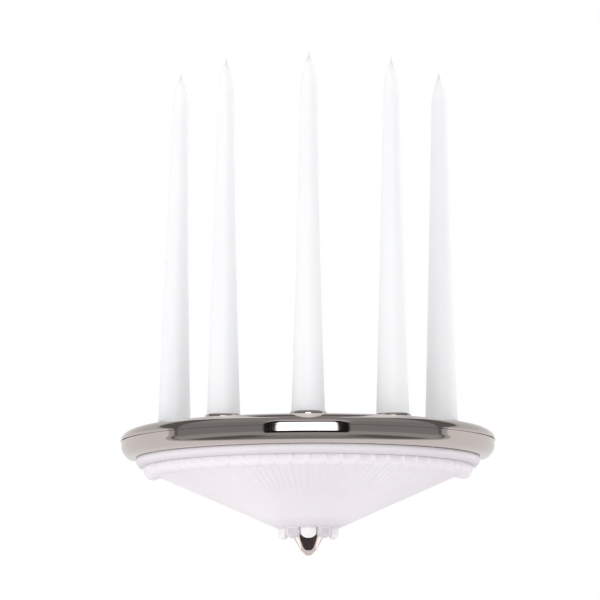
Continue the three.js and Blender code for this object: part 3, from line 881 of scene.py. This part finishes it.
def taper(station):
    """A candle with a shoulder near the top, a pointed end and a hole for the wick."""
    node = f"candle_{station}"
    bottom, top = low[node].z, high[node].z
    visible_from = high[f"collar_{station}"].z
    length = top - visible_from
    centre = middle_of(node)
    foot = radius_of(node)
    shoulder = 0.93
    foot_edge = 0.8 * MM
    outline = [(0, bottom)] + arc(foot - foot_edge, bottom + foot_edge, foot_edge, foot_edge,
                                  -90, 0, 4)
    steps = 60
    for i in range(steps + 1):
        share = shoulder * i / steps
        outline.append((taper_radius(share), visible_from + length * share))
    shoulder_radius = taper_radius(shoulder) - 0.25 * MM
    tip_start = visible_from + length * shoulder + 0.35 * MM
    tip_steps = 22
    for i in range(1, tip_steps + 1):
        share = i / tip_steps
        drawn_in = 0.84 * (1 - share) ** 0.82 + 0.16 * (1 - share ** 2)
        level = tip_start + (top - tip_start) * share
        if i == tip_steps:
            level -= 0.5 * MM
        outline.append((shoulder_radius * drawn_in + 1.1 * MM * share, level))
    bore = 1.05 * MM
    bore_end = top - 9 * MM
    outline += [(bore, top), (bore, bore_end), (0, bore_end)]
    candle = turned(f"wax_taper_{station}", outline, centre, "white_wax", 96, VERY_BLUNT)
    return bow(candle, station)


def braided_wick(station):
    """Three strands wound each way, square-cut at the top."""
    node = f"wick_{station}"
    bottom, top = low[node].z, high[node].z
    centre = middle_of(node)
    turns, rows = 30, 70
    pitch = 4.4 * MM
    points = [(centre.x, centre.y, bottom)]
    for i in range(rows + 1):
        z = bottom + (top - bottom) * i / rows
        close = 1 - 0.5 * max(0, (i / rows - 0.9) / 0.1) ** 2
        wind = 2 * math.pi * (z - bottom) / pitch
        for j in range(turns):
            a = 2 * math.pi * j / turns
            strand = max(abs(math.sin(1.5 * (a + wind))), abs(math.sin(1.5 * (a - wind))))
            r = 0.75 * MM * (0.74 + 0.26 * strand) * close
            points.append((centre.x + r * math.cos(a), centre.y + r * math.sin(a), z))
    points.append((centre.x, centre.y, top))
    wick = mesh_object(f"braided_wick_{station}", points, capped_faces(rows + 1, turns),
                       "waxed_cotton", VERY_BLUNT)
    return bow(wick, station)


for station in STATIONS:
    stand_in(cup(station), f"cup_{station}")
    stand_in(lock_ring(station), f"lock_ring_{station}")
    stand_in(collar(station), f"collar_{station}")
    stand_in(taper(station), f"candle_{station}")
    stand_in(braided_wick(station), f"wick_{station}")


# ---------------------------------------------------------------- studio
def studio_world():
    """Soft pale light all round. Polished metal sees the studio itself: a pale backdrop, a darker
    room in front, a softbox over the camera and two black flags beside it."""
    world = bpy.data.worlds.new("studio")
    world.use_nodes = True
    world.cycles.sampling_method = "NONE"
    scene.world = world
    nodes, links = world.node_tree.nodes, world.node_tree.links
    nodes.clear()

    def put(item, socket):
        if isinstance(item, (int, float)):
            socket.default_value = item
        else:
            links.new(item, socket)

    def math_node(operation, *inputs):
        node = nodes.new("ShaderNodeMath")
        node.operation = operation
        for item, socket in zip(inputs, node.inputs):
            put(item, socket)
        return node.outputs[0]

    def step(item, start, end):
        node = nodes.new("ShaderNodeMapRange")
        node.interpolation_type = "SMOOTHSTEP"
        node.inputs["From Min"].default_value = start
        node.inputs["From Max"].default_value = end
        links.new(item, node.inputs["Value"])
        return node.outputs["Result"]

    def within(item, start, end, soft):
        rise = step(item, start - soft, start + soft)
        fall = step(item, end + soft, end - soft)
        return math_node("MULTIPLY", rise, fall)

    def blend(mask, outside, inside):
        node = nodes.new("ShaderNodeMix")
        node.data_type = "FLOAT"
        for i, item in ((0, mask), (2, outside), (3, inside)):
            put(item, node.inputs[i])
        return node.outputs[0]

    place = nodes.new("ShaderNodeTexCoord")
    split = nodes.new("ShaderNodeSeparateXYZ")
    links.new(place.outputs["Generated"], split.inputs[0])
    x, y, z = split.outputs
    forward = math_node("MULTIPLY", y, -1.0)
    azimuth = math_node("DEGREES", math_node("ARCTAN2", x, forward))
    elevation = math_node("DEGREES", math_node("ARCSINE", z))

    # the room in front, from the floor up, with its corners, softbox and flags
    room = blend(step(elevation, -85, -60), 0.2, 0.27)
    room = blend(step(elevation, -58, -35), room, 0.36)
    room = blend(step(elevation, -20, 0), room, 0.24)
    corners = math_node("MULTIPLY", step(math_node("ABSOLUTE", azimuth), 22, 48),
                        within(elevation, -62, -36, 6))
    room = blend(corners, room, 0.13)
    room = blend(step(elevation, 40, 60), room, 0.3)
    ceiling_light = math_node("MULTIPLY", within(azimuth, -30, 30, 6), within(elevation, 41, 66, 4))
    room = blend(ceiling_light, room, 0.72)
    flags = math_node("MULTIPLY", within(azimuth, -27, 25, 0.8), within(elevation, -24, 52, 1.5))
    room = blend(flags, room, 0.01)
    box_mask = math_node("MULTIPLY", within(azimuth, -19.1, 17.5, 0.8),
                         within(elevation, -7, 34, 1.5))
    room = blend(box_mask, room, 2.4)

    # from front to back: the room, a dark gap, a grey edge and the backdrop, whose borders
    # bend with height
    backdrop = blend(step(z, 0.1, 0.5), 0.79, 0.58)
    rise = math_node("MAXIMUM", z, 0.0)
    rise = math_node("POWER", rise, 3.0)
    fall = math_node("MAXIMUM", math_node("MULTIPLY", z, -1.0), 0.0)
    bulge = math_node("MULTIPLY", fall, math_node("SUBTRACT", 1.0, fall))
    level_y = math_node("SUBTRACT", y, math_node("MULTIPLY", bulge, 0.45))
    depth = math_node("SUBTRACT", level_y, math_node("MULTIPLY", rise, 2.6))
    shade_start = math_node("SUBTRACT", level_y, math_node("MULTIPLY", rise, 0.8))
    gap_shade = blend(step(z, -0.7, -0.35), 0.5, 0.13)
    seen = blend(step(shade_start, -0.08, -0.05), room, gap_shade)
    seen = blend(step(depth, -0.03, -0.01), seen, 0.45)
    seen = blend(step(depth, 0.05, 0.08), seen, backdrop)

    # the camera sees white, polish sees the studio, and all else gets nearly even light
    path = nodes.new("ShaderNodeLightPath")
    tilt = math_node("ADD", math_node("MULTIPLY", x, -0.05), math_node("MULTIPLY", y, -0.1))
    even = math_node("ADD", 1.03, tilt)
    light = blend(path.outputs["Is Glossy Ray"], even, seen)
    light = blend(path.outputs["Is Camera Ray"], light, 1.0)
    background = nodes.new("ShaderNodeBackground")
    output = nodes.new("ShaderNodeOutputWorld")
    links.new(light, background.inputs["Color"])
    links.new(background.outputs[0], output.inputs[0])


def area_light(name, place, target, size, power):
    """A square light aimed at a target, left out of reflections."""
    data = bpy.data.lights.new(name, "AREA")
    data.size = size
    data.energy = power
    lamp = bpy.data.objects.new(name, data)
    lamp.location = place
    aim = Vector(target) - Vector(place)
    lamp.rotation_euler = aim.to_track_quat("-Z", "Y").to_euler()
    lamp.visible_glossy = False
    scene.collection.objects.link(lamp)


def flat_sheet(name, x_range, y_range, level):
    """A level rectangle that is part of the studio."""
    (left, right), (front, back) = x_range, y_range
    mesh = bpy.data.meshes.new(name)
    mesh.from_pydata([(left, front, level), (right, front, level), (right, back, level),
                      (left, back, level)], [], [(0, 1, 2, 3)])
    sheet = bpy.data.objects.new(name, mesh)
    scene.collection.objects.link(sheet)
    return sheet


def floor():
    """A pale floor well below the sconce, as under a lamp on a wall."""
    half, level = 60.0, -1.5
    plane = flat_sheet("floor", (-half, half), (-half, half), level)
    paint = Paint("pale_floor", Roughness=0.9)
    paint.feed("Base Color", paint.tones(paint.noise(3, 4), (0.3, (0.8, 0.8, 0.8)),
                                         (0.7, (0.84, 0.84, 0.84))))
    plane.data.materials.append(paint.material)
    plane.visible_glossy = False


def card(name, x_range, y_range, colour, glow):
    """A flat card under the finial, seen only in its polish and only from close by."""
    level, reach = -0.11, 0.1
    sheet = flat_sheet(name, x_range, y_range, level)
    paint = Paint(name, Roughness=0.9, Base_Color=(*colour, 1), Emission_Color=(1, 0.97, 0.98, 1),
                  Emission_Strength=glow)
    path = paint.nodes.new("ShaderNodeLightPath")
    far = paint.nodes.new("ShaderNodeMath")
    far.operation = "GREATER_THAN"
    far.inputs[1].default_value = reach
    clear = paint.nodes.new("ShaderNodeBsdfTransparent")
    mix = paint.nodes.new("ShaderNodeMixShader")
    output = paint.nodes["Material Output"]
    paint.links.new(path.outputs["Ray Length"], far.inputs[0])
    paint.links.new(far.outputs[0], mix.inputs[0])
    paint.links.new(paint.shader.outputs[0], mix.inputs[1])
    paint.links.new(clear.outputs[0], mix.inputs[2])
    paint.links.new(mix.outputs[0], output.inputs["Surface"])
    sheet.data.materials.append(paint.material)
    sheet.visible_camera = False
    sheet.visible_diffuse = False
    sheet.visible_transmission = False
    sheet.visible_shadow = False


def finial_cards():
    """Black in front of the finial, grey behind it and white at both sides."""
    black, grey = (0.07, 0.054, 0.06), (0.02, 0.02, 0.02)
    inner, outer = 0.048, 0.1
    front, middle, back = -0.09, -0.0265, 0.08
    card("black_card", (-inner, inner), (front, middle), black, 0)
    card("grey_card", (-inner, inner), (middle, back), grey, 0.85)
    card("white_card_left", (-outer, -inner), (front, back), grey, 1.5)
    card("white_card_right", (inner, outer), (front, back), grey, 1.5)


studio_world()
finial_cards()
bowl_middle = (0, AXIS_Y, (LIP_TOP + TIP_LEVEL) / 2)
area_light("left_light", (-1.5, -1.7, -0.5), bowl_middle, 1.0, 7)
area_light("right_light", (1.6, 0.5, 0.7), (0, AXIS_Y, 0.15), 1.0, 6)
floor()
